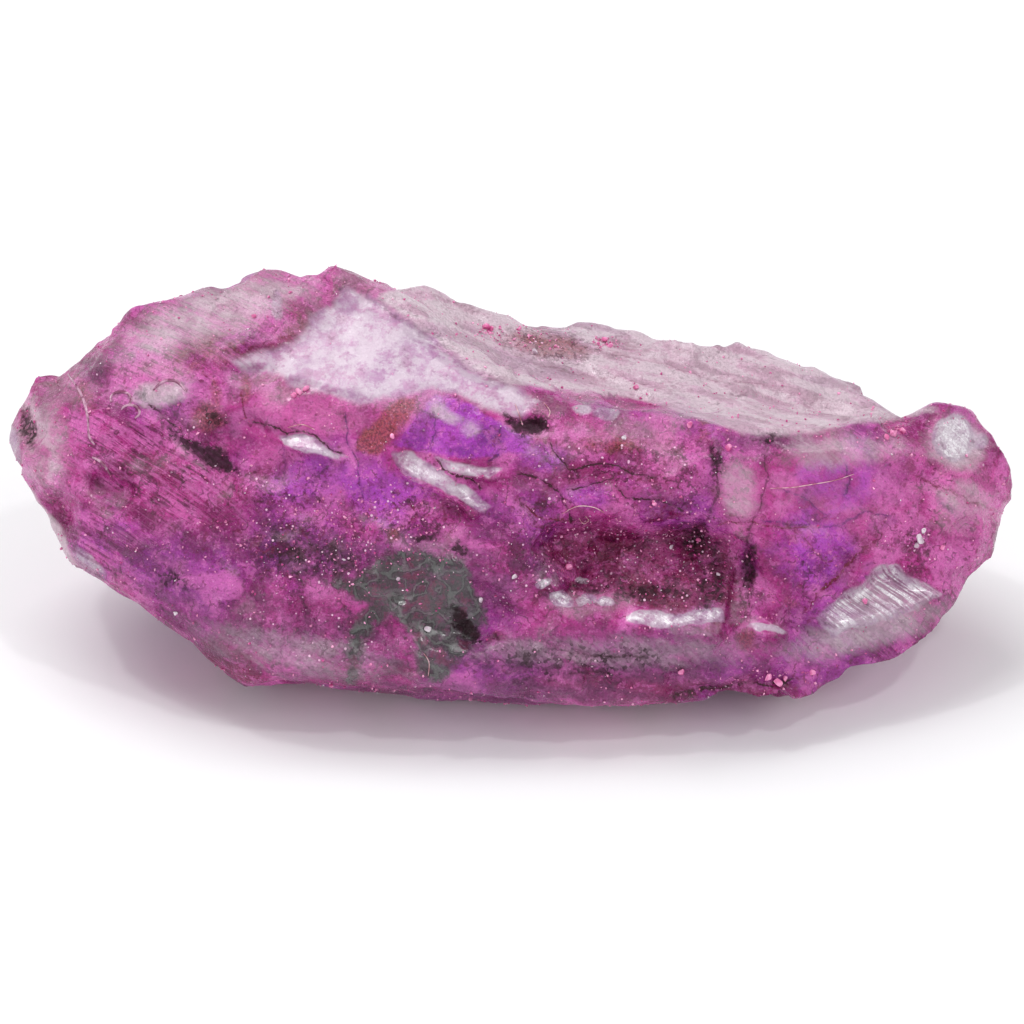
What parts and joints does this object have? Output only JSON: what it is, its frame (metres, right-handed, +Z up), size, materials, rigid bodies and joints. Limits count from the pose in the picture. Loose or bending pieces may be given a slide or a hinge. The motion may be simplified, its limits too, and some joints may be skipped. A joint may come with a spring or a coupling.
{
  "type": "rough sapphire",
  "caption": "Elongated rough lump of violet-magenta corundum with broken glossy faces, a sunken pocket and a flat rest face.",
  "frame": {"origin": "under the middle of the stone's box, on its flat rest face", "axes": "+X along the stone's length towards its blunt end, +Y towards its back, +Z up"},
  "size_m": [0.048, 0.02, 0.018],
  "materials": {
    "sapphire": "glossy broken corundum, magenta to violet, with pale sheen on its flat breaks, dark cracks and a grey-green film"
  },
  "bodies": {
    "root": {"stone": "sapphire"}
  },
  "joints": []
}
